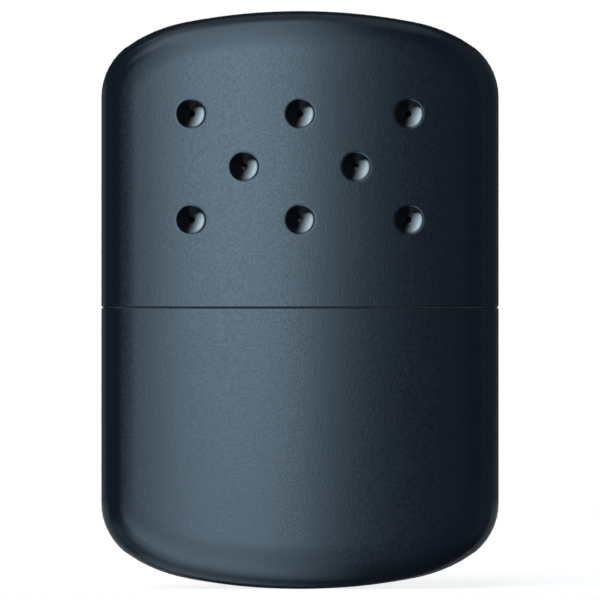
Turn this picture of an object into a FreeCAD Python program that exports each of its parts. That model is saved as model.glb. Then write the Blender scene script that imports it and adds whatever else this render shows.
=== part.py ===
"""Catalytic hand warmer: a steel case in two halves, a fuel tank and a push-on burner.

Millimetres, +Z up along the length, the front face towards -Y. The origin is the
lowest point of the case's rounded lower end.
"""
import FreeCAD
import Part
import math
import operator
import os
import Sketcher

from FreeCAD import Rotation, Vector

# ------------------------------------------------------------------ driving sizes

SIZES = [
    # the closed case
    ("case_height", 99.0),
    ("case_width", 68.2),
    ("case_depth", 13.0),
    ("face_radius", 240.0),  # crown of the front and back, across the width
    ("side_land", 0.4),  # straight strip between the two roundings of a side
    ("end_radius", 104.0),  # middle arc of each rounded end, seen from the front
    ("end_angle", 10.9),  # half of what this arc spans, in degrees
    ("corner_radius", 10.9),  # arc that turns each end into the sides
    ("corner_angle", 31.9),  # where that arc begins, in degrees from the middle
    ("wall", 0.45),
    ("seam_height", 48.25),
    ("seam_gap", 0.3),
    ("seam_edge", 0.15),  # broken outer edges that meet at the seam
    # vents in the front of the lid, drawn inwards and pierced
    ("vent_mouth", 4.7),
    ("vent_hole", 1.8),
    ("vent_depth", 1.6),
    ("vent_wall", 0.3),
    ("vent_rise", 14.95),  # lowest row, above the seam
    ("vent_row_pitch", 9.04),
    ("vent_spread_of_three", 18.6),  # outer vents of a row of three, from the middle
    ("vent_spread_of_two", 9.55),  # vents of the row of two, from the middle
    # cap of the tank, which stands up inside the lid as a collar
    ("collar_fit", 0.15),
    ("collar_height", 8.5),  # above the seam
    ("cap_skirt", 6.0),  # below the seam
    ("cap_wall", 0.4),
    ("cap_edge", 0.9),
    # filler neck
    ("neck_width", 28.0),
    ("neck_depth", 5.8),
    ("neck_height", 6.0),  # above the deck
    ("neck_wall", 0.4),
    ("neck_flange", 1.3),
    ("neck_lip", 0.12),
    ("neck_fit", 0.05),
    # cotton packing and felt plug
    ("packing_inset", 2.4),  # from the case's outline
    ("packing_edge", 2.0),
    ("packing_gap", 0.2),  # from the neck's foot and the cap's inside
    ("felt_gap", 0.15),
    ("felt_rise", 0.8),  # above the deck
    # burner
    ("burner_overhang", 2.0),  # past each end of the neck
    ("burner_overlap", 0.6),  # past the neck at the front and the back
    ("burner_sheet", 0.35),
    ("burner_fit", 0.1),  # band round the neck
    ("burner_seat", 0.2),  # band above the deck, and plate above the neck
    ("slit_width", 1.0),
    ("slit_height", 4.2),
    ("slit_spread", 10.5),  # slits in the band, from the middle
    ("vapour_slot_width", 22.0),
    ("vapour_slot_depth", 2.4),
    ("cage_height", 9.5),
    ("cage_edge", 0.5),
    ("window_count", 5),
    ("window_bar", 1.4),
    ("window_sill", 1.6),
    ("mat_gap", 0.15),
    ("mat_thickness", 1.3),
    ("former_sheet", 0.25),
    ("former_slot_count", 6),
    ("former_slot_width", 2.0),
    ("former_slot_low", 1.6),
    ("former_slot_high", 5.6),
]

CLEAR = 5.0  # how far a cutter runs past what it cuts
ON_PLANE = 1e-6
EDGE_OFFSET = 2 - math.sqrt(2)  # what a 45 degree edge's leg loses per unit of inset

doc = FreeCAD.newDocument("CatalyticHandWarmer")
sheet = doc.addObject("Spreadsheet::Sheet", "Sizes")
for row, (alias, number) in enumerate(SIZES, start=1):
    sheet.set("A%d" % row, alias)
    sheet.set("B%d" % row, "%g" % number)
    sheet.setAlias("B%d" % row, alias)
doc.recompute()


class Size:
    """A value together with the spreadsheet expression that gives it."""

    def __init__(self, text, value):
        self.text = text
        self.value = value

    def __add__(self, other):
        return worked_out(operator.add, "+", self, other)

    def __sub__(self, other):
        return worked_out(operator.sub, "-", self, other)

    def __mul__(self, other):
        return worked_out(operator.mul, "*", self, other)

    def __truediv__(self, other):
        return worked_out(operator.truediv, "/", self, other)

    def __neg__(self):
        return worked_out(operator.sub, "-", plain(0), self)


def plain(number):
    return Size("%g" % number, number)


def worked_out(rule, sign, first, second):
    if not isinstance(second, Size):
        second = plain(second)
    text = "(%s %s %s)" % (first.text, sign, second.text)
    return Size(text, rule(first.value, second.value))


def named(alias):
    return Size("Sizes." + alias, float(sheet.get(alias)))


def square(size):
    return size * size


def root(size):
    return Size("sqrt(%s)" % size.text, math.sqrt(size.value))


def sine(angle):
    return Size("sin(%s * 1 deg)" % angle.text, math.sin(math.radians(angle.value)))


def cosine(angle):
    return Size("cos(%s * 1 deg)" % angle.text, math.cos(math.radians(angle.value)))


def bind(thing, prop, size):
    thing.setExpression(prop, size.text)


# ------------------------------------------------- sizes that several pieces share

half_width = named("case_width") / 2
crown_offset = named("face_radius") - named("case_depth") / 2  # its axis, from the middle
# the rounding that touches the crown and leaves the side land
edge_radius = (
    square(named("face_radius"))
    - square(half_width)
    - square(crown_offset + named("side_land") / 2)
) / ((named("face_radius") - half_width) * 2)
# the arc between an end's middle arc and its corner arc makes up the width
shoulder_radius = (
    half_width
    - named("corner_radius")
    - named("end_radius") * sine(named("end_angle"))
    + named("corner_radius") * sine(named("corner_angle"))
) / (sine(named("corner_angle")) - sine(named("end_angle")))

lid_mouth = named("seam_height") + named("seam_gap") / 2
tank_mouth = named("seam_height") - named("seam_gap") / 2
deck = named("seam_height") + named("collar_height")
collar_inset = named("wall") + named("collar_fit")
cap_inset = collar_inset + named("cap_wall")  # the inside of the tank's cap
plate_height = named("neck_height") + named("burner_seat")  # its underside, above the deck
burner_width = named("neck_width") + named("burner_overhang") * 2
burner_depth = named("neck_depth") + named("burner_overlap") * 2


# -------------------------------------------------------------- sketches and steps

START, END, CENTRE = range(1, 4)  # a piece's points, as the sketcher counts them
ACROSS_AXIS, UP_AXIS = range(-1, -3, -1)
ORIGIN = (ACROSS_AXIS, START)
SMOOTH, SHARP = "Tangent", "Coincident"


def new_body(name):
    return doc.addObject("PartDesign::Body", name)


def new_sketch(body, name, plane="XY_Plane", raised=None):
    """A sketch on one of the body's own planes, moved along the plane's normal."""
    sketch = body.newObject("Sketcher::SketchObject", name)
    support = [part for part in body.Origin.OriginFeatures if part.Role == plane][0]
    sketch.AttachmentSupport = [(support, "")]
    sketch.MapMode = "FlatFace"
    if raised is not None:
        bind(sketch, "AttachmentOffset.Base.z", raised)
    return sketch


def constrain(sketch, kind, *places):
    return sketch.addConstraint(Sketcher.Constraint(kind, *places))


def dimension(sketch, kind, *places, size):
    """A dimension that follows the spreadsheet."""
    index = constrain(sketch, kind, *places, size.value)
    bind(sketch, "Constraints[%d]" % index, size)


def place(sketch, piece, spot, across=None, up=None):
    """Sets the signed distances of a piece's end or centre from the sketch's origin."""
    for kind, axis, size in (
        ("DistanceX", UP_AXIS, across),
        ("DistanceY", ACROSS_AXIS, up),
    ):
        if size is None:
            continue
        if abs(size.value) < ON_PLANE:
            constrain(sketch, "PointOnObject", piece, spot, axis)
        elif size.value > 0:
            dimension(sketch, kind, *ORIGIN, piece, spot, size=size)
        else:
            dimension(sketch, kind, piece, spot, *ORIGIN, size=-size)


def line(sketch, start, end):
    corners = [Vector(across.value, up.value, 0) for across, up in (start, end)]
    return sketch.addGeometry(Part.LineSegment(*corners))


def arc(sketch, centre, radius, low, high):
    """An arc from one direction to another, counter-clockwise, in degrees."""
    across, up = centre
    circle = Part.Circle(
        Vector(across.value, up.value, 0), Vector(0, 0, 1), radius.value
    )
    piece = sketch.addGeometry(
        Part.ArcOfCircle(circle, math.radians(low), math.radians(high))
    )
    dimension(sketch, "Radius", piece, size=radius)
    return piece


def join(sketch, *pieces):
    """Joins pieces into a loop, each given with the joint at its end."""
    for (piece, joint), (after, _) in zip(pieces, pieces[1:] + pieces[:1]):
        constrain(sketch, joint, piece, END, after, START)


def feature(body, kind, name, **settings):
    step = body.newObject("PartDesign::" + kind, name)
    for prop, setting in settings.items():
        if isinstance(setting, Size):
            bind(step, prop, setting)
        else:
            setattr(step, prop, setting)
    doc.recompute()
    return step


def chamfered(body, name, leg, wanted):
    """Breaks the edges of the body's last step that pass the test."""
    edges = [
        "Edge%d" % number
        for number, edge in enumerate(body.Tip.Shape.Edges, start=1)
        if wanted(edge)
    ]
    return feature(body, "Chamfer", name, Base=(body.Tip, edges), Size=leg)


def in_flats(body, name, leg, ridge):
    """Rounds an outline in three flats that touch the rounding, so that facets stay few.

    The rounding begins this far, its leg, from the ridge on either side. Every pass
    takes off each ridge that is left, which halves the angle between the flats.
    """
    for count, turn in enumerate((45, 22.5), start=1):
        cut_back = math.tan(math.radians(turn)) - math.tan(math.radians(turn / 2))
        chamfered(
            body,
            "%s_%d" % (name, count),
            leg * cut_back,
            lambda edge: ridge(edge) and edge.Length > leg.value,
        )


def lies_at(edge, height):
    return all(abs(corner.Z - height.value) < ON_PLANE for corner in edge.Vertexes)


def on_one_face(edge):
    """Whether an edge lies wholly in front of the middle or wholly behind it."""
    spots = [corner.Y for corner in edge.Vertexes]
    return min(spots) * max(spots) > 0


def raise_to(piece, height):
    bind(piece, "Placement.Base.z", height)


# --------------------------------------------------------------- forms of the case


def silhouette(sketch, inset, reach, mouth):
    """Half of the case from the front: a straight mouth, two sides, an end of five arcs.

    The full-size end reaches this far above the sketch's origin, and the mouth lies
    this far below it. An inset outline keeps the arcs' centres, so that two forms,
    one in the other, leave an even wall.
    """
    width = half_width - inset
    corner_radius = named("corner_radius") - inset
    bend, turn = named("end_angle"), named("corner_angle")
    middle_up = reach - named("end_radius")
    step = named("end_radius") - shoulder_radius
    shoulder_across = step * sine(bend)
    shoulder_up = middle_up + step * cosine(bend)
    corner_across = half_width - named("corner_radius")
    corner_up = shoulder_up + (shoulder_radius - named("corner_radius")) * cosine(turn)
    bend_at, turn_at = bend.value, turn.value

    floor = line(sketch, (-width, -mouth), (width, -mouth))
    right_side = line(sketch, (width, -mouth), (width, corner_up))
    right_corner = arc(
        sketch, (corner_across, corner_up), corner_radius, 0, 90 - turn_at
    )
    right_shoulder = arc(
        sketch,
        (shoulder_across, shoulder_up),
        shoulder_radius - inset,
        90 - turn_at,
        90 - bend_at,
    )
    middle = arc(
        sketch,
        (plain(0), middle_up),
        named("end_radius") - inset,
        90 - bend_at,
        90 + bend_at,
    )
    left_shoulder = arc(
        sketch,
        (-shoulder_across, shoulder_up),
        shoulder_radius - inset,
        90 + bend_at,
        90 + turn_at,
    )
    left_corner = arc(
        sketch, (-corner_across, corner_up), corner_radius, 90 + turn_at, 180
    )
    left_side = line(sketch, (-width, corner_up), (-width, -mouth))
    join(
        sketch,
        (floor, SHARP),
        (right_side, SMOOTH),
        (right_corner, SMOOTH),
        (right_shoulder, SMOOTH),
        (middle, SMOOTH),
        (left_shoulder, SMOOTH),
        (left_corner, SMOOTH),
        (left_side, SHARP),
    )
    constrain(sketch, "Horizontal", floor)
    constrain(sketch, "Vertical", right_side)
    constrain(sketch, "Vertical", left_side)
    place(sketch, floor, START, across=-width, up=-mouth)
    place(sketch, floor, END, across=width)
    place(sketch, middle, CENTRE, across=plain(0), up=middle_up)
    chord = (named("end_radius") - inset) * sine(bend)
    place(sketch, middle, START, across=chord)
    place(sketch, middle, END, across=-chord)


def outside_of_face(sketch, inset, side):
    """What lies outside one crowned face, seen along the length: 1 back, -1 front."""
    beyond = half_width + CLEAR
    outer = (named("case_depth") + CLEAR) * side
    radius = named("face_radius") - inset
    face_up = (root(square(radius) - square(beyond)) - crown_offset) * side
    spread = math.degrees(math.asin(beyond.value / radius.value))
    way = 90 * side
    crown = arc(
        sketch, (plain(0), crown_offset * -side), radius, way - spread, way + spread
    )
    last, first = beyond * -side, beyond * side
    rise = line(sketch, (last, face_up), (last, outer))
    across = line(sketch, (last, outer), (first, outer))
    fall = line(sketch, (first, outer), (first, face_up))
    join(sketch, (crown, SHARP), (rise, SHARP), (across, SHARP), (fall, SHARP))
    constrain(sketch, "Vertical", rise)
    constrain(sketch, "Vertical", fall)
    constrain(sketch, "Horizontal", across)
    place(sketch, crown, CENTRE, across=plain(0), up=crown_offset * -side)
    place(sketch, across, START, across=last, up=outer)
    place(sketch, across, END, across=first)


def case_form(name, inset, reach, mouth):
    """Half of the case as a solid, inset all over, with its end towards +Z."""
    body = new_body(name)
    outline = new_sketch(body, name + "_outline", "XZ_Plane")
    silhouette(outline, inset, reach, mouth)
    thick = named("case_depth") * 2
    feature(body, "Pad", name + "_blank", Profile=outline, Midplane=True, Length=thick)
    outside = new_sketch(body, name + "_outside")
    outside_of_face(outside, inset, 1)
    outside_of_face(outside, inset, -1)
    feature(
        body,
        "Pocket",
        name + "_crown",
        Profile=outside,
        Type="ThroughAll",
        Midplane=True,
    )
    face_at_side = root(
        square(named("face_radius") - inset) - square(half_width - inset)
    ) - crown_offset
    in_flats(
        body,
        name + "_edges",
        face_at_side - named("side_land") / 2,
        lambda edge: on_one_face(edge) and not lies_at(edge, -mouth),
    )
    return body


def case_section(sketch, inset):
    """The case cut across: two crowned faces, four roundings and two side lands."""
    width = half_width - inset
    land = named("side_land") / 2
    corner_across = half_width - edge_radius
    centre_gap = (crown_offset + land).value
    tilt = math.degrees(math.atan2(corner_across.value, centre_gap))
    pieces = []
    for side, turn in ((1, 0), (-1, 180)):
        strip = line(sketch, (width * side, land * -side), (width * side, land * side))
        corner = arc(
            sketch,
            (corner_across * side, land * side),
            edge_radius - inset,
            turn,
            turn + 90 - tilt,
        )
        crown = arc(
            sketch,
            (plain(0), crown_offset * -side),
            named("face_radius") - inset,
            turn + 90 - tilt,
            turn + 90 + tilt,
        )
        far_corner = arc(
            sketch,
            (corner_across * -side, land * side),
            edge_radius - inset,
            turn + 90 + tilt,
            turn + 180,
        )
        constrain(sketch, "Vertical", strip)
        place(sketch, strip, START, across=width * side)
        place(sketch, crown, CENTRE, across=plain(0), up=crown_offset * -side)
        pieces += [strip, corner, crown, far_corner]
    join(sketch, *[(piece, SMOOTH) for piece in pieces])


def oblong(sketch, width, depth):
    """Two straight sides and two half-round ends, centred on the origin."""
    radius = depth / 2
    across = width / 2 - radius
    pieces = []
    for side, turn in ((1, 0), (-1, 180)):
        straight = line(
            sketch, (across * side, radius * side), (across * -side, radius * side)
        )
        end = arc(sketch, (across * -side, plain(0)), radius, turn + 90, turn + 270)
        place(sketch, end, CENTRE, across=across * -side, up=plain(0))
        pieces += [straight, end]
    join(sketch, *[(piece, SMOOTH) for piece in pieces])


def oblong_step(body, name, kind, width, depth, low, height):
    """Adds or cuts an oblong prism that stands on the height called low."""
    sketch = new_sketch(body, name + "_outline", raised=low)
    oblong(sketch, width, depth)
    return feature(
        body, kind, name, Profile=sketch, Length=height, Reversed=kind == "Pocket"
    )


def finished(name, source, height):
    """A body that takes over a boolean's shape, to be rounded and set in place."""
    body = new_body(name)
    body.BaseFeature = source
    raise_to(body, height)
    doc.recompute()
    return body


def cut(name, base, tool):
    result = doc.addObject("Part::Cut", name)
    result.Base = base
    result.Tool = tool
    doc.recompute()
    return result


def outer_edges_at(shape, height):
    """The outer loop of the flat face that lies at this height."""
    ring = [
        face
        for face in shape.Faces
        if all(lies_at(edge, height) for edge in face.Edges)
    ][0]
    return ring.OuterWire.Edges


def one_of(edges):
    return lambda edge: any(edge.isSame(other) for other in edges)


# ------------------------------------------------------------------- lower case
# Deep-drawn shell with a rounded end. It is modelled end up and turned over.

tank_form = case_form("tank_form", plain(0), tank_mouth, plain(0))
tank_core = case_form("tank_core", named("wall"), tank_mouth, plain(CLEAR))
tank_hollowed = cut("tank_hollowed", tank_form, tank_core)

tank_shell = finished("tank_shell", tank_hollowed, tank_mouth)
tank_shell.Placement.Rotation = Rotation(Vector(1, 0, 0), 180)
chamfered(
    tank_shell,
    "tank_seam_edge",
    named("seam_edge"),
    one_of(outer_edges_at(tank_shell.Tip.Shape, plain(0))),
)

# --------------------------------------------------------------- lid with its vents
# The vents are funnels, drawn inwards and pierced. A cone cuts each of them, and a
# boss, taken from the core, leaves the funnel's metal standing inside the lid.

vent_slope = (named("vent_mouth") - named("vent_hole")) / 2 / named("vent_depth")
boss_radius = named("vent_mouth") / 2 - vent_slope * named("wall") + named("vent_wall")


def vent_spots():
    """Across and up from the lid's mouth."""
    three, two = named("vent_spread_of_three"), named("vent_spread_of_two")
    rows = ((-three, plain(0), three), (-two, two), (-three, plain(0), three))
    for count, spreads in enumerate(rows):
        up = named("vent_rise") - named("seam_gap") / 2 + named("vent_row_pitch") * count
        for spread in spreads:
            yield spread, up


def vent_tools(kind, name, height):
    """A cone or cylinder at each vent, outwards from the vent's depth."""
    tools = []
    for spread, up in vent_spots():
        face = root(square(named("face_radius")) - square(spread)) - crown_offset
        tool = doc.addObject("Part::" + kind, name)
        tool.Placement.Rotation = Rotation(Vector(1, 0, 0), 90)
        bind(tool, "Placement.Base.x", spread)
        bind(tool, "Placement.Base.y", named("vent_depth") - face)
        raise_to(tool, up)
        bind(tool, "Height", height)
        tools.append(tool)
    return tools


def fused(name, pieces):
    result = doc.addObject("Part::MultiFuse", name)
    result.Shapes = pieces
    return result


lid_reach = named("case_height") - lid_mouth
lid_form = case_form("lid_form", plain(0), lid_reach, plain(0))
lid_core = case_form("lid_core", named("wall"), lid_reach, plain(CLEAR))
bosses = vent_tools("Cylinder", "vent_boss", named("vent_depth"))
for boss in bosses:
    bind(boss, "Radius", boss_radius)
funnels = vent_tools("Cone", "vent_funnel", named("vent_depth") * 2)
for funnel in funnels:
    bind(funnel, "Radius1", named("vent_hole") / 2)
    bind(funnel, "Radius2", named("vent_mouth") - named("vent_hole") / 2)
vent_bosses = fused("vent_bosses", bosses)
vent_funnels = fused("vent_funnels", funnels)
lid_hollow = cut("lid_hollow", lid_core, vent_bosses)
lid_hollowed = cut("lid_hollowed", lid_form, lid_hollow)
lid_pierced = cut("lid_pierced", lid_hollowed, vent_funnels)

lid_shell = finished("lid_shell", lid_pierced, lid_mouth)
chamfered(
    lid_shell,
    "lid_seam_edge",
    named("seam_edge"),
    one_of(outer_edges_at(lid_shell.Tip.Shape, plain(0))),
)

# ----------------------------------------------------------------------- tank cap
# Drawn cap pressed into the lower case. Its side stands up as the lid's collar and
# its top is the deck that carries the neck.


def cap_form(name, inset, low, high, leg):
    """The case's section as a prism with a broken top edge, from the seam."""
    body = new_body(name)
    outline = new_sketch(body, name + "_outline", raised=low)
    case_section(outline, collar_inset + inset)
    feature(body, "Pad", name + "_block", Profile=outline, Length=high - low)
    chamfered(body, name + "_edge", leg, lambda edge: lies_at(edge, high))
    return body


cap_outer = cap_form(
    "cap_outer",
    plain(0),
    -named("cap_skirt"),
    named("collar_height"),
    named("cap_edge"),
)
# the same wall along the broken edge as beside it
cap_inner = cap_form(
    "cap_inner",
    named("cap_wall"),
    -named("cap_skirt") - CLEAR,
    named("collar_height") - named("cap_wall"),
    named("cap_edge") - named("cap_wall") * EDGE_OFFSET,
)
tank_cap = finished(
    "tank_cap", cut("cap_hollowed", cap_outer, cap_inner), named("seam_height")
)
oblong_step(
    tank_cap,
    "neck_hole",
    "Pocket",
    named("neck_width") + named("neck_fit") * 2,
    named("neck_depth") + named("neck_fit") * 2,
    named("collar_height") - named("cap_wall") * 2,
    named("cap_wall") * 3,
)

# ------------------------------------------------- filler neck, felt and packing
# The neck is a flanged tube soldered under the deck. Heights are from the deck.

neck_foot = named("cap_wall") + named("neck_wall")  # below the deck

filler_neck = new_body("filler_neck")
oblong_step(
    filler_neck,
    "neck_tube",
    "Pad",
    named("neck_width"),
    named("neck_depth"),
    -neck_foot,
    neck_foot + named("neck_height"),
)
oblong_step(
    filler_neck,
    "neck_foot",
    "Pad",
    named("neck_width") + named("neck_flange") * 2,
    named("neck_depth") + named("neck_flange") * 2,
    -neck_foot,
    named("neck_wall"),
)
oblong_step(
    filler_neck,
    "neck_bore",
    "Pocket",
    named("neck_width") - named("neck_wall") * 2,
    named("neck_depth") - named("neck_wall") * 2,
    -neck_foot,
    neck_foot + named("neck_height"),
)
chamfered(
    filler_neck,
    "neck_rim",
    named("neck_lip"),
    lambda edge: lies_at(edge, named("neck_height")),
)
raise_to(filler_neck, deck)

neck_felt = new_body("neck_felt")
felt_inset = named("neck_wall") + named("felt_gap")
oblong_step(
    neck_felt,
    "felt_plug",
    "Pad",
    named("neck_width") - felt_inset * 2,
    named("neck_depth") - felt_inset * 2,
    -neck_foot,
    neck_foot + named("felt_rise"),
)
raise_to(neck_felt, deck)

# The packing is a soft pad with the case's outline, down from the neck's foot. It is as
# thick as the cap's inside allows where the pad's broken edges begin.
packing_shoulder = half_width - named("packing_inset") - named("packing_edge")
packing_depth = (
    root(square(named("face_radius") - cap_inset) - square(packing_shoulder))
    - crown_offset
    - named("packing_gap")
) * 2
packing_rise = named("collar_height") - neck_foot - named("packing_gap")  # above the seam
tank_packing = new_body("tank_packing")
packing_outline = new_sketch(tank_packing, "packing_outline", "XZ_Plane")
silhouette(
    packing_outline,
    named("packing_inset"),
    tank_mouth,
    packing_rise + named("seam_gap") / 2,
)
feature(
    tank_packing,
    "Pad",
    "packing_pad",
    Profile=packing_outline,
    Midplane=True,
    Length=packing_depth,
)
chamfered(tank_packing, "packing_edges", named("packing_edge"), on_one_face)
tank_packing.Placement.Rotation = Rotation(Vector(1, 0, 0), 180)
raise_to(tank_packing, tank_mouth)

# ----------------------------------------------------------------------- burner
# Band that grips the neck, with the plate that carries the rest. From the deck.

band_inner_width = named("neck_width") + named("burner_fit") * 2
band_inner_depth = named("neck_depth") + named("burner_fit") * 2

burner_base = new_body("burner_base")
oblong_step(
    burner_base,
    "band",
    "Pad",
    band_inner_width + named("burner_sheet") * 2,
    band_inner_depth + named("burner_sheet") * 2,
    named("burner_seat"),
    named("neck_height"),
)
oblong_step(
    burner_base,
    "plate",
    "Pad",
    burner_width,
    burner_depth,
    plate_height,
    named("burner_sheet"),
)
oblong_step(
    burner_base,
    "band_bore",
    "Pocket",
    band_inner_width,
    band_inner_depth,
    named("burner_seat"),
    named("neck_height"),
)
oblong_step(
    burner_base,
    "vapour_slot",
    "Pocket",
    named("vapour_slot_width"),
    named("vapour_slot_depth"),
    named("neck_height"),
    named("burner_seat") + named("burner_sheet") * 2,
)


def opening(sketch, middle, width, low, high):
    """The outline of an upright opening, this far across and from low to high."""
    left, right = middle - width / 2, middle + width / 2
    bottom = line(sketch, (left, low), (right, low))
    right_edge = line(sketch, (right, low), (right, high))
    top = line(sketch, (right, high), (left, high))
    left_edge = line(sketch, (left, high), (left, low))
    join(sketch, *[(edge, SHARP) for edge in (bottom, right_edge, top, left_edge)])
    for level in (bottom, top):
        constrain(sketch, "Horizontal", level)
    for upright in (left_edge, right_edge):
        constrain(sketch, "Vertical", upright)
    place(sketch, bottom, START, across=left, up=low)
    place(sketch, top, START, across=right, up=high)


slits = new_sketch(burner_base, "slits", "XZ_Plane")
slit_top = named("burner_seat") + named("slit_height")
for slit_middle in (named("slit_spread"), -named("slit_spread")):
    opening(slits, slit_middle, named("slit_width"), plain(-CLEAR), slit_top)
feature(
    burner_base,
    "Pocket",
    "band_slits",
    Profile=slits,
    Type="ThroughAll",
    Midplane=True,
)
raise_to(burner_base, deck)

# Cage, mat and former are hoods of one form, one in the other, that stand on the
# plate. Each is the form inset all over, less the form inset further.

burner_floor = deck + plate_height + named("burner_sheet")


def hood(body, name, kind, inset, low):
    """Adds or cuts the burner's form, inset all over, from this height up."""
    oblong_step(
        body,
        name,
        kind,
        burner_width - inset * 2,
        burner_depth - inset * 2,
        low,
        named("cage_height") - inset - low,
    )


def row_of_openings(body, name, pitch, count, width, low, high):
    """Cuts a centred row of openings through the body."""
    sketch = new_sketch(body, name + "_outline", "XZ_Plane")
    opening(sketch, -pitch * (count - 1) / 2, width, low, high)
    first = feature(
        body,
        "Pocket",
        name + "_first",
        Profile=sketch,
        Type="ThroughAll",
        Midplane=True,
    )
    body.Tip = feature(
        body,
        "LinearPattern",
        name,
        Originals=[first],
        Direction=(sketch, ["H_Axis"]),
        Length=pitch * (count - 1),
        Occurrences=count,
    )
    doc.recompute()


straight_run = burner_width - burner_depth

burner_cage = new_body("burner_cage")
hood(burner_cage, "cage_outer", "Pad", plain(0), plain(0))
chamfered(
    burner_cage,
    "cage_edge",
    named("cage_edge"),
    lambda edge: lies_at(edge, named("cage_height")),
)
hood(burner_cage, "cage_inner", "Pocket", named("burner_sheet"), plain(0))
raise_to(burner_cage, burner_floor)
window_pitch = straight_run / named("window_count")
row_of_openings(
    burner_cage,
    "windows",
    window_pitch,
    named("window_count"),
    window_pitch - named("window_bar"),
    named("window_sill"),
    named("cage_height") + CLEAR,
)

mat_inset = named("burner_sheet") + named("mat_gap")
catalyst_mat = new_body("catalyst_mat")
hood(catalyst_mat, "mat_outer", "Pad", mat_inset, named("mat_gap"))
hood(
    catalyst_mat,
    "mat_inner",
    "Pocket",
    mat_inset + named("mat_thickness"),
    named("mat_gap"),
)
raise_to(catalyst_mat, burner_floor)

former_inset = mat_inset + named("mat_thickness") + named("mat_gap")
burner_former = new_body("burner_former")
hood(burner_former, "former_outer", "Pad", former_inset, plain(0))
hood(
    burner_former,
    "former_inner",
    "Pocket",
    former_inset + named("former_sheet"),
    plain(0),
)
raise_to(burner_former, burner_floor)
former_pitch = straight_run / named("former_slot_count")
row_of_openings(
    burner_former,
    "former_slots",
    former_pitch,
    named("former_slot_count"),
    named("former_slot_width"),
    named("former_slot_low"),
    named("former_slot_high"),
)

# ----------------------------------------------------------------- check and write

SUBPARTS = [
    lid_shell,
    tank_shell,
    tank_cap,
    filler_neck,
    neck_felt,
    tank_packing,
    burner_base,
    burner_cage,
    catalyst_mat,
    burner_former,
]

doc.recompute()
for thing in doc.Objects:
    if "Invalid" in thing.State or "Error" in thing.State:
        raise RuntimeError("%s did not build: %s" % (thing.Name, thing.State))
for piece in SUBPARTS:
    if piece.Shape.isNull() or not piece.Shape.isValid():
        raise RuntimeError("%s has no valid shape" % piece.Label)

os.makedirs("parts", exist_ok=True)
for piece in SUBPARTS:
    piece.Shape.exportStep(os.path.join("parts", piece.Label + ".step"))
    print("%-14s %9.2f mm3, %d solid" % (piece.Label, piece.Shape.Volume, len(piece.Shape.Solids)))
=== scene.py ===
"""Looks for the catalytic hand warmer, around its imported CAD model. Metres, +Z up."""

import math

import bpy
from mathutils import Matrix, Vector


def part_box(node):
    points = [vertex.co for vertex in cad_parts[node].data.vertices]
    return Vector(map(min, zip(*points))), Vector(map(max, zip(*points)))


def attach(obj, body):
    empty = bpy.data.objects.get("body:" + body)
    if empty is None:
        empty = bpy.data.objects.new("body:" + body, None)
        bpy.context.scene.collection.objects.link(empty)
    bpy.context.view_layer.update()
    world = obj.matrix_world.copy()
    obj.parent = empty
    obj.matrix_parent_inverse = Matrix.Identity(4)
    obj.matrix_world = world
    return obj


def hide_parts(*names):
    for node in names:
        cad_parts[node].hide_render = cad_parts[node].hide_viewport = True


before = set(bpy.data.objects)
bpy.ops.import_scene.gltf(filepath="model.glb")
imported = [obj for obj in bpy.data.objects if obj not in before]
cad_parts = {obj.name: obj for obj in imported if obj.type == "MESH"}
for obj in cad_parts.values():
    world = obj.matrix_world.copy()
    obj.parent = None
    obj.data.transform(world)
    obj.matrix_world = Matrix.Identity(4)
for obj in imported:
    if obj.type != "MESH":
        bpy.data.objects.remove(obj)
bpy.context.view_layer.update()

# ------------------------------------------------------------------ lower case
# Fuel tank: a cup deep-drawn from thin steel sheet, with a rounded foot and an open
# mouth that carries the cap. A satin black powder coat outside, a dusting of it inside.

MM = 0.001
case_height = 99.0 * MM
half_width = 34.1 * MM
half_depth = 6.5 * MM
crown_radius = 240.0 * MM  # of both large faces, across the width
crown_axis = crown_radius - half_depth  # from the middle of the case
edge_radius = 4.4 * MM  # rounding all round both large faces
edge_ease = 2.2 * MM  # over this much the faces fall away before the rounding starts
edge_ease_drop = 0.08 * MM
edge_steps = 12
sheet_thickness = 0.45 * MM
broken_edge = 0.13 * MM  # at the mouth
seam_height = 48.25 * MM
seam_gap = 0.3 * MM

# The outline of each end is a wide arc, a shoulder and a corner. An angle is where its
# arc gives way to the next one, from the horizontal. The shoulder joins the other two.
end_radius, end_angle = 104.0 * MM, math.radians(90 - 10.9)
corner_radius, corner_angle = 10.9 * MM, math.radians(90 - 31.9)
shoulder_radius = (
    half_width
    - corner_radius
    - end_radius * math.cos(end_angle)
    + corner_radius * math.cos(corner_angle)
) / (math.cos(corner_angle) - math.cos(end_angle))
shoulder_across = (end_radius - shoulder_radius) * math.cos(end_angle)
shoulder_down = end_radius - (end_radius - shoulder_radius) * math.sin(end_angle)
corner_down = shoulder_down - (shoulder_radius - corner_radius) * math.sin(corner_angle)

# each arc: centre across, centre below the end, radius, lowest and highest angle
end_arcs = (
    (0.0, end_radius, end_radius, end_angle, math.radians(90)),
    (shoulder_across, shoulder_down, shoulder_radius, corner_angle, end_angle),
    (half_width - corner_radius, corner_down, corner_radius, 0.0, corner_angle),
)
slack = 1e-9  # for rounding errors where two arcs meet

# where the rounding leaves the face, per unit across of the centre of the rounding
touch_ratio = crown_radius / (crown_radius - edge_radius)
face_side = (half_width - edge_radius) * touch_ratio


def end_arc(across):
    """Centre below the end, radius and angle of the end's outline, where the centre of
    the edge's rounding is this far across."""
    spot = abs(across)
    for middle, down, radius, lowest, _ in end_arcs:
        reach = radius - edge_radius
        if spot <= middle + reach * math.cos(lowest) + slack:
            break
    return down, radius, math.acos(max(0.0, min(1.0, (spot - middle) / reach)))


def on_crown(across, along, side):
    """A point of the front (-1) or back (1) face."""
    depth = math.sqrt(crown_radius**2 - across**2) - crown_axis
    return Vector((across, depth * side, along))


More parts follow.
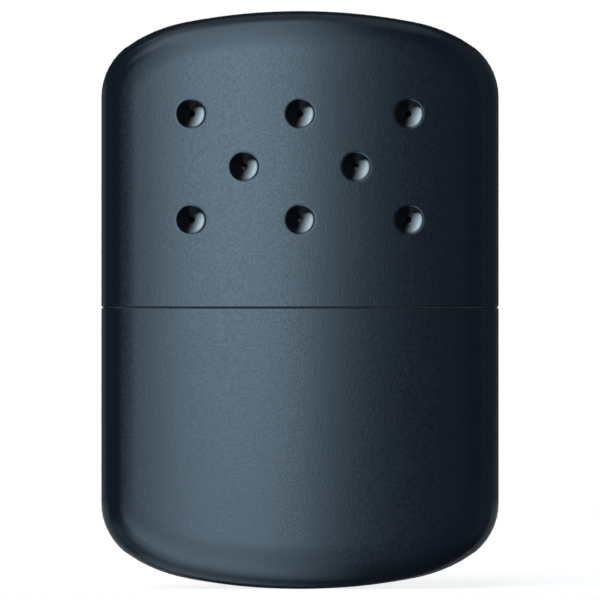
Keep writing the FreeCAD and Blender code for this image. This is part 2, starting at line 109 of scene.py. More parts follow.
def out_of_crown(across, side):
    """The way straight out of that face, this far across."""
    return Vector((across, math.sqrt(crown_radius**2 - across**2) * side, 0)).normalized()


def fall(across, down):
    """How far a face has fallen away towards the rounding, this far across and this far
    below the end."""
    spot = abs(across) / touch_ratio
    inside = half_width - spot
    if down < corner_down:
        for middle, depth, radius, _, highest in reversed(end_arcs):
            if math.atan2(depth - down, spot - middle) <= highest + slack:
                inside = radius - math.hypot(depth - down, spot - middle)
                break
    share = max(0.0, min(1.0, 1 - (inside - edge_radius) / edge_ease))
    return edge_ease_drop * share * share


def eased(share):
    """The share with both its ends softened."""
    return share * share * (3 - 2 * share)


def evenly(start, end, count):
    """Places at even steps after the start, up to the end."""
    return [start + (end - start) * step / count for step in range(1, count + 1)]


def nearest(places, place):
    """Which of the places is nearest to this one."""
    return min(range(len(places)), key=lambda index: abs(places[index] - place))


# the places of the finishes in each half's list
outside, rim, vent_wall, inner = range(4)
end_rows = 9  # the last few


def drawn_shell(name, mouth, toward, columns, rows, side_row, vents=None):
    """Half of the case as one sheet: two faces, the rounding and the narrow wall.

    It runs up (1) or down (-1) from its mouth. Columns go across a face from its
    middle. Rows go out from the mouth, the plain ones as far as side_row beside the
    corners, and the last few follow the outline of the end.
    """
    reach = (case_height - mouth) if toward > 0 else mouth
    across = [-spot for spot in reversed(columns)] + [0.0] + list(columns)
    level_to = vents["clear_to"] if vents else columns[-1]
    last_column, last_row = len(across) - 1, len(rows) + end_rows - 1
    points, quads, finishes, thickness, highlight_paint = [], [], [], {}, {}

    def add_point(spot):
        points.append((spot.x, spot.y, mouth + spot.z * toward))
        return len(points) - 1

    def add_quad(corners, side, finish=outside):
        quads.append(corners if side * toward < 0 else corners[::-1])
        finishes.append(finish)

    def spot_on(column, row):
        """How far across and how far from the mouth a grid point lies."""
        spot = across[column]
        down, radius, turn = end_arc(spot / touch_ratio)
        top = reach - down + (radius - edge_radius) * math.sin(turn)
        beyond = max(0.0, abs(spot) - level_to)
        share = eased(beyond / (face_side - level_to)) if beyond else 0.0
        squeeze = 1 - share * (1 - side_row / rows[-1])
        if row < len(rows):
            return spot, rows[row] * squeeze
        start = rows[-1] * squeeze
        return spot, start + (top - start) * (row - len(rows) + 1) / end_rows

    def lay_face(side, holes):
        """The face's grid of points, with its quads, left open where the holes are."""
        grid = {}
        for column in range(last_column + 1):
            for row in range(last_row + 1):
                if any(
                    left < column < right and low < row < high
                    for left, right, low, high in holes
                ):
                    continue
                spot, up = spot_on(column, row)
                place = on_crown(spot, up, side)
                place.y -= side * fall(spot, reach - up)
                grid[column, row] = add_point(place)
        for column in range(last_column):
            for row in range(last_row):
                if any(
                    left <= column < right and low <= row < high
                    for left, right, low, high in holes
                ):
                    continue
                after, above = column + 1, row + 1
                corners = (column, row), (after, row), (after, above), (column, above)
                add_quad([grid[corner] for corner in corners], side)
        return grid

    def draw_vent(side, grid, centre, hole):
        """Rings from the square hole in the grid to the vent's lip, bowl and piercing."""
        left, right, low, high = hole
        border = (
            [grid[column, low] for column in range(left, right)]
            + [grid[right, row] for row in range(low, high)]
            + [grid[column, high] for column in range(right, left, -1)]
            + [grid[left, row] for row in range(high, low, -1)]
        )
        count = len(border)
        first_turn = math.radians(-135)  # the border starts at its lower left corner
        inward = -Vector((centre[0], crown_axis * side, 0)).normalized()
        ring = border
        for radius, depth, roundness, finish, thickness_share in vents["rings"]:
            following = []
            for step in range(count):
                turn = first_turn + 2 * math.pi * step / count
                sideways, upwards = radius * math.cos(turn), radius * math.sin(turn)
                x, _, z = points[border[step]]
                squarely = x, (z - mouth) * toward
                roundly = centre[0] + sideways, centre[1] + upwards
                spot = [a * (1 - roundness) + b * roundness for a, b in zip(squarely, roundly)]
                following.append(add_point(on_crown(*spot, side) + inward * depth))
                thickness[following[-1]] = thickness_share
                highlight_paint[following[-1]] = vents["highlight_paint"](sideways, upwards)
            for step in range(count):
                after = (step + 1) % count
                corners = [ring[step], ring[after], following[after], following[step]]
                add_quad(corners, side, finish)
            ring = following

    def roll_edge(side, grid):
        """The rounding all round the face, out to the narrow wall."""
        outline = (
            [(last_column, row) for row in range(last_row)]
            + [(column, last_row) for column in range(last_column, -1, -1)]
            + [(0, row) for row in range(last_row - 1, -1, -1)]
        )
        chains = []
        for column, row in outline:
            spot, up = spot_on(column, row)
            turn = end_arc(spot / touch_ratio)[2] if row == last_row else 0.0
            if spot < 0:
                turn = math.pi - turn
            from_face = out_of_crown(spot, side)
            to_wall = Vector((math.cos(turn), 0, math.sin(turn)))
            middle = on_crown(spot, up, side) - from_face * edge_radius
            chain = [grid[column, row]]
            for step in range(1, edge_steps + 1):
                share = step / edge_steps
                place = middle + from_face.slerp(to_wall, share) * edge_radius
                place.y -= side * edge_ease_drop * (1 - eased(share))
                chain.append(add_point(place))
            chains.append(chain)
        for chain, after in zip(chains, chains[1:]):
            for step in range(edge_steps):
                add_quad([chain[step], chain[step + 1], after[step + 1], after[step]], side)
        return [chain[-1] for chain in chains]

    holes = {}
    for centre in vents["centres"] if vents else []:
        half = vents["half_block"]
        holes[centre] = (
            nearest(across, centre[0] - half),
            nearest(across, centre[0] + half),
            nearest(rows, centre[1] - half),
            nearest(rows, centre[1] + half),
        )
    front_grid = lay_face(-1, holes.values())
    for centre, hole in holes.items():
        draw_vent(-1, front_grid, centre, hole)
    front_rim = roll_edge(-1, front_grid)
    back_rim = roll_edge(1, lay_face(1, []))
    for step in range(len(back_rim) - 1):
        add_quad([front_rim[step], back_rim[step], back_rim[step + 1], front_rim[step + 1]], -1)

    mesh = bpy.data.meshes.new(name)
    mesh.from_pydata(points, [], quads)
    mesh.polygons.foreach_set("material_index", finishes)
    mesh.polygons.foreach_set("use_smooth", [True] * len(quads))
    # Each point's share of the vents' painted highlight, read by the vent walls' finish.
    painted_highlight = mesh.attributes.new("painted_highlight", "FLOAT", "POINT")
    painted_highlight.data.foreach_set("value", [highlight_paint.get(index, 0.0) for index in range(len(points))])
    shell = bpy.data.objects.new(name, mesh)
    bpy.context.scene.collection.objects.link(shell)
    full = shell.vertex_groups.new(name="thickness")
    full.add(range(len(points)), 1.0, "REPLACE")
    for index, share in thickness.items():
        full.add([index], share, "REPLACE")
    sheet = shell.modifiers.new("sheet", "SOLIDIFY")
    sheet.thickness = sheet_thickness
    sheet.offset = -1
    sheet.vertex_group = "thickness"
    sheet.material_offset = inner
    sheet.material_offset_rim = rim
    broken_edges = shell.modifiers.new("broken_edges", "BEVEL")
    broken_edges.width = broken_edge
    broken_edges.segments = 2
    broken_edges.limit_method = "ANGLE"
    broken_edges.angle_limit = math.radians(50)
    broken_edges.harden_normals = True
    return shell


def linear(hexed):
    """An sRGB hex colour as linear red, green, blue and alpha."""
    steps = [int(hexed[at:at + 2], 16) / 255 for at in (0, 2, 4)]
    return [
        step / 12.92 if step <= 0.04045 else ((step + 0.055) / 1.055) ** 2.4
        for step in steps
    ] + [1.0]


def add_node(tree, kind, values=None, links=None, **settings):
    """Adds one node, with its settings, its sockets' values and what feeds them."""
    node = tree.nodes.new("ShaderNode" + kind)
    for setting, value in settings.items():
        setattr(node, setting, value)
    for socket, value in (values or {}).items():
        node.inputs[socket].default_value = value
    for socket, source in (links or {}).items():
        tree.links.new(source, node.inputs[socket])
    return node


def new_finish(name, colour, **sockets):
    """A material with one Principled shader at the finish's plain values, and the
    places on the piece that its patterns are mapped by."""
    material = bpy.data.materials.new(name)
    material.use_nodes = True
    tree = material.node_tree
    shader = tree.nodes["Principled BSDF"]
    shader.inputs["Base Color"].default_value = linear(colour)
    for socket, value in sockets.items():
        shader.inputs[socket.replace("_", " ")].default_value = value
    spots = add_node(tree, "TexCoord").outputs["Object"]
    return material, tree, shader, spots


# Satin powder coat on steel: near-black with a blue cast. The melted powder leaves a
# grain of about 0.2 mm, too fine to show, so it is drawn twice as coarse. It breaks up
# the gloss a little.
powder_coat, tree, shader, spots = new_finish(
    "satin_black_powder_coat", "0c1118", Roughness=0.18, IOR=1.5
)
shader.inputs["Specular Tint"].default_value = linear("d6eeff")
grain_size = 0.4 * MM
grain = add_node(
    tree, "TexNoise", {"Scale": 1 / grain_size, "Detail": 2.0}, {"Vector": spots}
)
gloss = add_node(
    tree,
    "MapRange",
    {"From Min": 0.35, "From Max": 0.65, "To Min": 0.15, "To Max": 0.21},
    {"Value": grain.outputs["Fac"]},
)
tree.links.new(gloss.outputs["Result"], shader.inputs["Roughness"])
dimples = add_node(
    tree,
    "Bump",
    {"Strength": 0.42, "Distance": 0.015 * MM},
    {"Height": grain.outputs["Fac"]},
)
tree.links.new(dimples.outputs["Normal"], shader.inputs["Normal"])

# Matt black inside both halves and on the cap: a thin dusting of the same powder that
# never levelled, so it is dry, rough and shows the steel's draw marks faintly.
dusted_black, tree, shader, spots = new_finish(
    "dusted_black_powder", "15181c", Roughness=0.65, IOR=1.5
)
mark_width, mark_length = 0.6 * MM, 10.0 * MM
stretched = add_node(
    tree,
    "Mapping",
    {"Scale": (1 / mark_width, 1 / mark_width, 1 / mark_length)},
    {"Vector": spots},
)
marks = add_node(
    tree,
    "TexNoise",
    {"Scale": 1.0, "Detail": 4.0},
    {"Vector": stretched.outputs["Vector"]},
)
tone = add_node(
    tree,
    "Mix",
    {"A": linear("101215"), "B": linear("23272c")},
    {"Factor": marks.outputs["Fac"]},
    data_type="RGBA",
)
tree.links.new(tone.outputs["Result"], shader.inputs["Base Color"])
gloss = add_node(
    tree,
    "MapRange",
    {"From Min": 0.3, "From Max": 0.7, "To Min": 0.55, "To Max": 0.75},
    {"Value": marks.outputs["Fac"]},
)
tree.links.new(gloss.outputs["Result"], shader.inputs["Roughness"])

lower_mouth = seam_height - seam_gap / 2
mouth_row = 0.6 * MM  # a first narrow row keeps the mouth's edge crisp
last_inner_column = 26.0 * MM
corner_steps = 8
corner_columns = [
    (half_width - corner_radius + (corner_radius - edge_radius) * math.cos(turn)) * touch_ratio
    for turn in [corner_angle * step / corner_steps for step in range(corner_steps)][::-1]
]
lower_side = 28.0 * MM  # from the mouth to just before the corners start to turn
lower_case = drawn_shell(
    "lower_case",
    lower_mouth,
    -1,
    evenly(0, last_inner_column, 18) + corner_columns,
    [0.0, mouth_row] + evenly(mouth_row, lower_side, 12),
    lower_side,
)
for finish in (powder_coat, powder_coat, dusted_black, dusted_black):
    lower_case.data.materials.append(finish)
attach(lower_case, "tank")
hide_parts("tank_shell")

# ------------------------------------------------------------------------- lid
# Second drawn cup, coated like the first, that slides over the tank's collar. Eight
# vents in its front face are drawn inwards as smooth bowls with soft lips and pierced.

vent_lip_start = 2.6 * MM  # from the vent's middle
vent_lip_radius = 0.35 * MM
vent_steepest = math.radians(41)
vent_hole_slope = math.radians(33)
vent_hole_radius = 0.55 * MM
vent_block = 3.6 * MM  # half a side of the square of face that goes with a vent
vent_wall_share = 0.7  # of the sheet's thickness, which drawing leaves in the wall
lip_steps, bowl_steps = 5, 14

lip_end = vent_lip_start - vent_lip_radius * math.sin(vent_steepest)
lip_depth = vent_lip_radius * (1 - math.cos(vent_steepest))
bowl_radius = (lip_end - vent_hole_radius) / (
    math.sin(vent_steepest) - math.sin(vent_hole_slope)
)

# each ring: radius, depth, how round it is, finish and share of the sheet's thickness
vent_rings = [
    (3.2 * MM, 0.0, 0.4, outside, 1.0),
    (2.95 * MM, 0.0, 1.0, outside, 0.9),
    (vent_lip_start, 0.0, 1.0, outside, 0.75),
]
for slope in evenly(0.0, vent_steepest, lip_steps):
    radius = vent_lip_start - vent_lip_radius * math.sin(slope)
    depth = vent_lip_radius * (1 - math.cos(slope))
    vent_rings.append((radius, depth, 1.0, outside, vent_wall_share))
for slope in evenly(vent_steepest, vent_hole_slope, bowl_steps):
    radius = lip_end - bowl_radius * (math.sin(vent_steepest) - math.sin(slope))
    depth = lip_depth + bowl_radius * (math.cos(slope) - math.cos(vent_steepest))
    vent_rings.append((radius, depth, 1.0, vent_wall, vent_wall_share))

# Where each vent's painted highlight lies: turned askew, on the lower right of its wall.
highlight_turn = math.radians(18)
highlight_from = -0.05 * MM  # across the vent's middle, where the painted highlight starts
highlight_over = 1.85 * MM  # from there to where the painted highlight is brightest
highlight_curve = 1.7
highlight_top = 1.2 * MM  # above the vent's middle
highlight_fade = 0.3 * MM  # at that top and at the rim


def painted_highlight_share(across, up):
    """How much painted highlight lies on the wall, this far from the vent's middle.
    It starts softly at the middle, and ends straight above and at the rim."""
    sideways = across * math.cos(highlight_turn) - up * math.sin(highlight_turn)
    share = max(0.0, min(1.0, (sideways - highlight_from) / highlight_over))
    below_top = (highlight_top - up) / highlight_fade
    inside_rim = (lip_end - math.hypot(across, up)) / highlight_fade
    return share**highlight_curve * max(0.0, min(1.0, below_top, inside_rim))


lid_mouth = seam_height + seam_gap / 2
vent_rows = [seam_height + up * MM - lid_mouth for up in (14.95, 23.99, 33.03)]
outer_vents, inner_vents = 18.6 * MM, 9.55 * MM  # from the middle
row_of_three = (-outer_vents, 0.0, outer_vents)
row_of_two = (-inner_vents, inner_vents)
vent_centres = [
    (spread, up)
    for up, spreads in zip(vent_rows, (row_of_three, row_of_two, row_of_three))
    for spread in spreads
]

lid_columns = (
    evenly(0, vent_block, 4)
    + evenly(vent_block, inner_vents - vent_block, 2)
    + evenly(inner_vents - vent_block, inner_vents + vent_block, 8)
    + evenly(inner_vents + vent_block, outer_vents - vent_block, 2)
    + evenly(outer_vents - vent_block, outer_vents + vent_block, 8)
    + evenly(outer_vents + vent_block, last_inner_column, 3)
    + corner_columns
)
lid_rows = [0.0, mouth_row] + evenly(mouth_row, vent_rows[0] - vent_block, 5)
for row_up, next_up in zip(vent_rows, vent_rows[1:] + [None]):
    lid_rows += evenly(row_up - vent_block, row_up + vent_block, 8)
    if next_up:
        lid_rows += evenly(row_up + vent_block, next_up - vent_block, 2)
lid_side = 33.0 * MM
lid = drawn_shell(
    "lid",
    lid_mouth,
    1,
    lid_columns,
    lid_rows,
    lid_side,
    {
        "centres": vent_centres,
        "half_block": vent_block,
        "clear_to": outer_vents + vent_block,
        "rings": vent_rings,
        "highlight_paint": painted_highlight_share,
    },
)

# Painted light on each vent's wall: a pale grey painted highlight on its lower right,
# turned a little askew, and painted shade on the rest, a black darker and less glossy
# than the coat on the face.
powder_with_painted_light, tree, shader, spots = new_finish(
    "powder_with_painted_highlight_and_shade", "06080b", Roughness=0.2, IOR=1.5, Specular_IOR_Level=0.1
)
highlight_attribute = add_node(tree, "Attribute", attribute_name="painted_highlight")
# Patches break up the painted highlight a little.
patch_size = 0.8 * MM
patches = add_node(
    tree, "TexNoise", {"Scale": 1 / patch_size, "Detail": 3.0}, {"Vector": spots}
)
uneven = add_node(
    tree,
    "MapRange",
    {"From Min": 0.3, "From Max": 0.7, "To Min": 0.88, "To Max": 1.0},
    {"Value": patches.outputs["Fac"]},
)
painted_highlight = add_node(
    tree,
    "Math",
    links={0: highlight_attribute.outputs["Fac"], 1: uneven.outputs["Result"]},
    operation="MULTIPLY",
)
# From painted shade, a black darker than the face's coat, to the pale grey painted highlight.
tone = add_node(
    tree,
    "Mix",
    {"A": linear("06080b"), "B": linear("9caab3")},
    {"Factor": painted_highlight.outputs["Value"]},
    data_type="RGBA",
)
tree.links.new(tone.outputs["Result"], shader.inputs["Base Color"])
gloss = add_node(
    tree,
    "MapRange",
    {"From Min": 0.0, "From Max": 0.3, "To Min": 0.2, "To Max": 0.55},
    {"Value": painted_highlight.outputs["Value"]},
)
tree.links.new(gloss.outputs["Result"], shader.inputs["Roughness"])
for finish in (powder_coat, powder_coat, powder_with_painted_light, dusted_black):
    lid.data.materials.append(finish)
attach(lid, "lid")
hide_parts("lid_shell")

# ----------------------------------------------------------------- tank cap and neck
# Pressed cap whose side stands up as the lid's collar, dusted black like the inside of
# the halves, and the drawn, nickel-plated filler neck that is soldered into its top.


def dress(node_name, material):
    """Gives a CAD node its material."""
    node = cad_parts[node_name]
    if not node.material_slots:
        node.data.materials.append(material)
    for slot in node.material_slots:
        slot.material = material


dress("tank_cap", dusted_black)

# Bright nickel plate on drawn steel: a warm, mirror-like metal. The die's fine draw marks
# run up the sides and streak what it mirrors.
bright_plate, tree, shader, spots = new_finish(
    "bright_nickel_plate", "cfccc6", Metallic=1.0, Roughness=0.2
)
mark_width, mark_length = 0.35 * MM, 9.0 * MM
stretched = add_node(
    tree,
    "Mapping",
    {"Scale": (1 / mark_width, 1 / mark_width, 1 / mark_length)},
    {"Vector": spots},
)
marks = add_node(
    tree,
    "TexNoise",
    {"Scale": 1.0, "Detail": 5.0},
    {"Vector": stretched.outputs["Vector"]},
)
gloss = add_node(
    tree,
    "MapRange",
    {"From Min": 0.3, "From Max": 0.7, "To Min": 0.12, "To Max": 0.3},
    {"Value": marks.outputs["Fac"]},
)
tree.links.new(gloss.outputs["Result"], shader.inputs["Roughness"])
scratches = add_node(
    tree,
    "Bump",
    {"Strength": 0.08, "Distance": 0.01 * MM},
    {"Height": marks.outputs["Fac"]},
)
tree.links.new(scratches.outputs["Normal"], shader.inputs["Normal"])
dress("filler_neck", bright_plate)

# A bead rolled round the collar is what the lid's edge stops against. Its sections go
# round the case at the seam, half of them along the faces and half round the edges.
bead_inset, bead_radius = 0.3 * MM, 0.14 * MM
bead_sections, bead_sides = 160, 12
bead_points, bead_quads = [], []
for section in range(bead_sections):
    turn = math.radians(90) - 2 * math.pi * section / bead_sections
    side = 1 if math.sin(turn) >= 0 else -1
    hand = 1 if math.cos(turn) >= 0 else -1
    share = abs(math.asin(math.sin(turn))) / math.radians(90)
    across = face_side * hand * min(1.0, (1 - share) * 2)
    from_face = out_of_crown(across, side)
    place, out = on_crown(across, seam_height, side), from_face
    if share <= 0.5:
        out = Vector((hand, 0, 0)).slerp(from_face, share * 2)
        place += (out - from_face) * edge_radius
    place -= out * bead_inset
    for part in range(bead_sides):
        way = 2 * math.pi * part / bead_sides
        round_bead = out * math.cos(way) + Vector((0, 0, math.sin(way)))
        bead_points.append(place + round_bead * bead_radius)
        here, after = section * bead_sides, (section + 1) % bead_sections * bead_sides
        upper = (part + 1) % bead_sides
        bead_quads.append((here + part, here + upper, after + upper, after + part))
bead_mesh = bpy.data.meshes.new("stop_bead")
bead_mesh.from_pydata(bead_points, [], bead_quads)
bead_mesh.polygons.foreach_set("use_smooth", [True] * len(bead_quads))
bead_mesh.materials.append(dusted_black)
stop_bead = bpy.data.objects.new("stop_bead", bead_mesh)
bpy.context.scene.collection.objects.link(stop_bead)
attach(stop_bead, "tank")

# --------------------------------------------------------------- felt and packing
# Dense wool felt in the neck carries the fuel up, and loose cotton wool fills the
# tank. Both are pushed in and held by their own spring.

# Wool felt: matt and off-white, with short tangled fibres that catch light at a slant.
felt, tree, shader, spots = new_finish(
    "dense_wool_felt", "d9d2c2", Roughness=0.95, Sheen_Weight=0.4, Sheen_Roughness=0.6
)
fibre_clump = 0.4 * MM
fibres = add_node(
    tree,
    "TexNoise",
    {"Scale": 1 / fibre_clump, "Detail": 6.0, "Distortion": 1.5},
    {"Vector": spots},
)
tone = add_node(
    tree,
    "Mix",
    {"A": linear("c9c0ad"), "B": linear("e6e0d3")},
    {"Factor": fibres.outputs["Fac"]},
    data_type="RGBA",
)
tree.links.new(tone.outputs["Result"], shader.inputs["Base Color"])
nap = add_node(
    tree, "Bump", {"Strength": 0.6, "Distance": 0.1 * MM}, {"Height": fibres.outputs["Fac"]}
)
tree.links.new(nap.outputs["Normal"], shader.inputs["Normal"])
dress("neck_felt", felt)

# Cotton wool: whiter and softer than the felt, in tufts with a deep nap.
cotton, tree, shader, spots = new_finish(
    "loose_cotton_wool", "ebe9e2", Roughness=1.0, Sheen_Weight=0.6, Sheen_Roughness=0.7
)
tuft_size = 2.5 * MM
tufts = add_node(
    tree,
    "TexNoise",
    {"Scale": 1 / tuft_size, "Detail": 8.0, "Distortion": 2.0},
    {"Vector": spots},
)
nap = add_node(
    tree, "Bump", {"Strength": 0.9, "Distance": 0.6 * MM}, {"Height": tufts.outputs["Fac"]}
)
tree.links.new(nap.outputs["Normal"], shader.inputs["Normal"])
dress("tank_packing", cotton)

# ---------------------------------------------------------------------- burner
# Band, plate, windowed cage and slotted former, all of thin steel, round a mat of
# glass fibre that carries the catalyst. The band pushes on to the filler neck.

# Dull near-black steel, a painted shade that keeps the burner dark where it shows
# through the vents' piercings. Handling has smeared it unevenly.
shade_steel, tree, shader, spots = new_finish(
    "dull_steel_painted_shade", "1b1d20", Roughness=0.5, IOR=1.6
)
smear_size = 1.5 * MM
smears = add_node(
    tree, "TexNoise", {"Scale": 1 / smear_size, "Detail": 4.0}, {"Vector": spots}
)
tone = add_node(
    tree,
    "Mix",
    {"A": linear("121316"), "B": linear("2c2e31")},
    {"Factor": smears.outputs["Fac"]},
    data_type="RGBA",
)
tree.links.new(tone.outputs["Result"], shader.inputs["Base Color"])
gloss = add_node(
    tree,
    "MapRange",
    {"From Min": 0.3, "From Max": 0.7, "To Min": 0.42, "To Max": 0.6},
    {"Value": smears.outputs["Fac"]},
)
tree.links.new(gloss.outputs["Result"], shader.inputs["Roughness"])
dress("burner_base", shade_steel)

# Plain steel tinted by heat: black at its cool foot, then blue, purple and straw in
# patchy bands, and grey to blue again at the top, where it gets hottest.
burner_steel, tree, shader, spots = new_finish(
    "heat_tinted_steel", "7d7a74", Metallic=1.0, Roughness=0.5
)
cage_low, cage_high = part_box("burner_cage")
heights = add_node(tree, "SeparateXYZ", links={"Vector": spots})
heat = add_node(
    tree,
    "MapRange",
    {"From Min": cage_low.z, "From Max": cage_high.z, "To Min": 0.0, "To Max": 0.85},
    {"Value": heights.outputs["Z"]},
)
patch_size = 3.0 * MM
uneven = add_node(
    tree, "TexNoise", {"Scale": 1 / patch_size, "Detail": 3.0}, {"Vector": spots}
)
patchy = add_node(tree, "Math", {1: 0.3}, {0: uneven.outputs["Fac"]}, operation="MULTIPLY")
heated = add_node(
    tree,
    "Math",
    links={0: heat.outputs["Result"], 1: patchy.outputs["Value"]},
    operation="ADD",
)
tints = add_node(tree, "ValToRGB", links={"Fac": heated.outputs["Value"]})
ramp = tints.color_ramp.elements
ramp[0].position, ramp[0].color = 0.18, linear("14161a")
ramp[1].position, ramp[1].color = 1.0, linear("2e323b")
for position, colour in (
    (0.34, "30364a"),
    (0.5, "6d5550"),
    (0.66, "8f7550"),
    (0.82, "55534f"),
):
    ramp.new(position).color = linear(colour)
tree.links.new(tints.outputs["Color"], shader.inputs["Base Color"])
gloss = add_node(
    tree,
    "MapRange",
    {"From Min": 0.3, "From Max": 0.7, "To Min": 0.44, "To Max": 0.6},
    {"Value": uneven.outputs["Fac"]},
)
tree.links.new(gloss.outputs["Result"], shader.inputs["Roughness"])
for node_name in ("burner_cage", "burner_former"):
    dress(node_name, burner_steel)

# Glass fibre woven plain and greyed by the platinum on it: dry, with a raised weave.
catalyst, tree, shader, spots = new_finish(
    "catalyst_glass_fibre", "6f6c68", Roughness=0.85, Sheen_Weight=0.3, Sheen_Roughness=0.5
)
thread = 0.66 * MM
weave_repeat = 2 * thread  # over one thread and under the next
bands_per_unit = 10 / math.pi  # that a wave texture draws at scale 1
warp, weft = [
    add_node(
        tree,
        "TexWave",
        {"Scale": 1 / (bands_per_unit * weave_repeat), "Distortion": 1.5, "Detail": 2.0},
        {"Vector": spots},
        bands_direction=direction,
    )
    for direction in "XZ"
]
weave = add_node(
    tree,
    "Math",
    links={0: warp.outputs["Fac"], 1: weft.outputs["Fac"]},
    operation="MULTIPLY",
)
tone = add_node(
    tree,
    "Mix",
    {"A": linear("4a4744"), "B": linear("99958e")},
    {"Factor": weave.outputs["Value"]},
    data_type="RGBA",
)
tree.links.new(tone.outputs["Result"], shader.inputs["Base Color"])
nap = add_node(
    tree, "Bump", {"Strength": 0.7, "Distance": 0.15 * MM}, {"Height": weave.outputs["Value"]}
)
tree.links.new(nap.outputs["Normal"], shader.inputs["Normal"])
dress("catalyst_mat", catalyst)

# -------------------------------------------------------------- floor and surroundings
# A pale paper floor that starts under the standing case, and a studio round it. The lens
# sees white, and the coating mirrors a dark room with soft lights before and behind.

floor_side, floor_front, floor_back = 300 * MM, 1 * MM, 300 * MM
floor_mesh = bpy.data.meshes.new("floor")
floor_mesh.from_pydata(
    [
        (-floor_side, -floor_front, 0),
        (floor_side, -floor_front, 0),
        (floor_side, floor_back, 0),
        (-floor_side, floor_back, 0),
    ],
    [],
    [(0, 1, 2, 3)],
)
floor = bpy.data.objects.new("floor", floor_mesh)
bpy.context.scene.collection.objects.link(floor)


def seen_through_lens(tree):
    """1 for what the lens sees, straight or through glass, and the light path node."""
    path = add_node(tree, "LightPath")
    seen = add_node(
        tree,
        "Math",
        links={0: path.outputs["Is Camera Ray"], 1: path.outputs["Is Transmission Ray"]},
        operation="ADD",
    )
    return seen.outputs["Value"], path


# Matt white paper: it is bright by itself for the lens, a little for what mirrors it, and
# takes a soft shadow.
paper, tree, shader, _ = new_finish("matt_white_paper", "a0a0a0", Roughness=1.0)
shader.inputs["Emission Color"].default_value = linear("ffffff")
to_lens, path = seen_through_lens(tree)
mirrored = add_node(
    tree, "Math", {1: 0.15}, {0: path.outputs["Is Glossy Ray"]}, operation="MULTIPLY"
)
glow = add_node(
    tree,
    "Math",
    {1: 0.8},
    {0: to_lens, 2: mirrored.outputs["Value"]},
    operation="MULTIPLY_ADD",
)
tree.links.new(glow.outputs["Value"], shader.inputs["Emission Strength"])
floor.data.materials.append(paper)

world = bpy.data.worlds.new("studio")
bpy.context.scene.world = world
world.use_nodes = True
tree = world.node_tree
way = add_node(tree, "TexCoord").outputs["Generated"]


def patch_of_light(level, limits):
    """Light from the directions inside soft limits. Each limit is a direction, how far
    along it the patch is dark and how far along it the patch is full."""
    patch = None
    for direction, dark, full in limits:
        along = add_node(tree, "VectorMath", {1: direction}, {0: way}, operation="DOT_PRODUCT")
        limit = add_node(
            tree,
            "MapRange",
            {"From Min": dark, "From Max": full, "To Min": 0.0, "To Max": 1.0},
            {"Value": along.outputs["Value"]},
            interpolation_type="SMOOTHSTEP",
        )
        joined = add_node(
            tree, "Math", {0: level}, {1: limit.outputs["Result"]}, operation="MULTIPLY"
        )
        if patch:
            tree.links.new(patch, joined.inputs[0])
        patch = joined.outputs["Value"]
    return patch


strip_angle = math.radians(5.8)  # of the strip behind the lens, to the left of straight
front = Vector((-math.sin(strip_angle), -math.cos(strip_angle), 0))
beside = Vector((math.cos(strip_angle), -math.sin(strip_angle), 0))
right, rear, up = Vector((1, 0, 0)), Vector((0, 1, 0)), Vector((0, 0, 1))
to_front, widely_front = (front, -0.2, 1.25), (front, -0.2, 1.0)
horizon = (up, -0.1, 0.02)
dark_room = 0.05

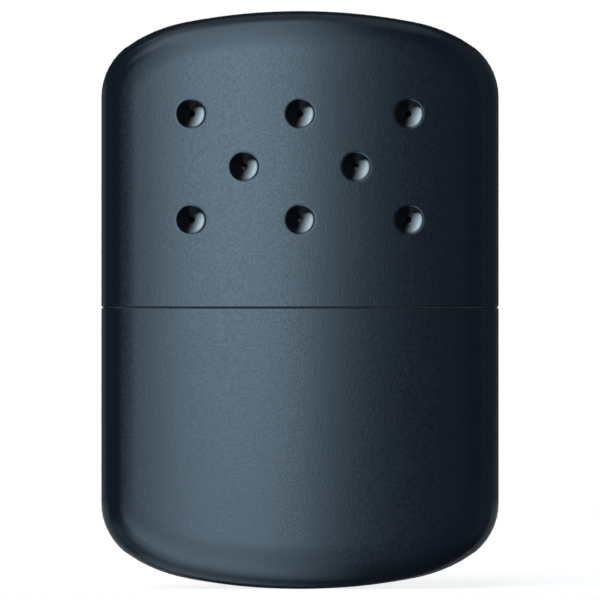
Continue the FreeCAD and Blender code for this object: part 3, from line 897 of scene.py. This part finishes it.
# each light: its level, and the limits of its patch
studio_lights = (
    # an upright strip behind the lens, the wide glow round it and their light lower down
    (8.8, to_front, (beside, -0.185, -0.05), (beside, 0.185, 0.05), (-up, -0.35, 0.05), horizon),
    (4.6, to_front, (beside + up * 0.4, -0.27, 0.06), (beside, 0.29, -0.03), horizon),
    (4.1, to_front, (beside, -0.42, -0.2), (beside, 0.24, -0.04), (-up, -0.01, 0.14)),
    # above and below these, for the roundings at the top and at the foot
    (3.2, (front, 0.0, 0.55), (beside, -0.62, -0.3), (beside, 0.17, 0.0), (up, 0.35, 0.6)),
    (2.5, widely_front, (beside, -0.68, -0.3), (beside, 0.2, -0.15), (-up, 0.1, 0.4)),
    (0.5, (front, -0.2, 0.2), (beside, -0.4, -0.6), (-up, 0.2, 0.45)),
    # nearly overhead, nearly underneath and the ceiling
    (1.2, (rear, 0.25, -0.05), (beside, 0.0, -0.3), (up, 0.72, 0.9)),
    (1.1, (rear, 0.75, 0.3), (beside, 0.1, -0.25), (-up, 0.75, 0.88)),
    (0.5, (up, 0.8, 0.97)),
    # the wall to the right, a strip at the left behind the case and a light straight behind
    (0.2, (right, 0.3, 0.7), (up, -0.65, -0.45)),
    (0.3, (-right, 0.3, 0.7), (rear, 0.15, 0.4), (up, -0.3, -0.1), (-up, -0.3, -0.1)),
    (2.5, (rear, 0.95, 0.985)),
)
room = None
for level, *limits in studio_lights:
    joined = add_node(
        tree, "Math", {0: dark_room}, {1: patch_of_light(level, limits)}, operation="MAXIMUM"
    )
    if room:
        tree.links.new(room, joined.inputs[0])
    room = joined.outputs["Value"]
to_lens, _ = seen_through_lens(tree)
background = tree.nodes["Background"]
shown = add_node(tree, "Mix", {"B": 1.0}, {"Factor": to_lens, "A": room}, data_type="FLOAT")
tree.links.new(shown.outputs["Result"], background.inputs["Strength"])
tint = add_node(
    tree,
    "Mix",
    {"A": linear("eaf7ff"), "B": linear("ffffff")},
    {"Factor": to_lens},
    data_type="RGBA",
)
tree.links.new(tint.outputs["Result"], background.inputs["Color"])

# ------------------------------------------------------------------- lamps and camera
# A broad soft lamp overhead lights the floor, and a soft one to the upper left lights the
# matt surfaces. The lens is long and level with the middle of the case.

middle = Vector((0, 0, case_height / 2))
for name, size, watts, place in (
    ("overhead", 1.6, 1.2, (0.0, 0.1, 1.2)),
    ("upper_left", 0.6, 8.0, (-0.8, -0.65, 0.5)),
):
    lamp_data = bpy.data.lights.new(name, "AREA")
    lamp_data.shape = "SQUARE"
    lamp_data.size = size
    lamp_data.energy = watts
    lamp = bpy.data.objects.new(name, lamp_data)
    bpy.context.scene.collection.objects.link(lamp)
    lamp.location = place
    lamp.rotation_euler = (middle - lamp.location).to_track_quat("-Z", "Y").to_euler()
    lamp.visible_glossy = False

frame_pixels, pixels_per_mm = 600, 5.83  # at the middle of the case
field = frame_pixels / pixels_per_mm * MM
camera_data = bpy.data.cameras.new("camera")
camera = bpy.data.objects.new("camera", camera_data)
bpy.context.scene.collection.objects.link(camera)
bpy.context.scene.camera = camera
camera_data.lens = 400
camera_data.sensor_width = 36
away = field * camera_data.lens / camera_data.sensor_width
camera.location = (0.0, -away, middle.z)
camera.rotation_euler = (math.radians(90), 0, 0)
camera_data.clip_start, camera_data.clip_end = 0.1, 20

bpy.context.scene.view_settings.view_transform = "Standard"
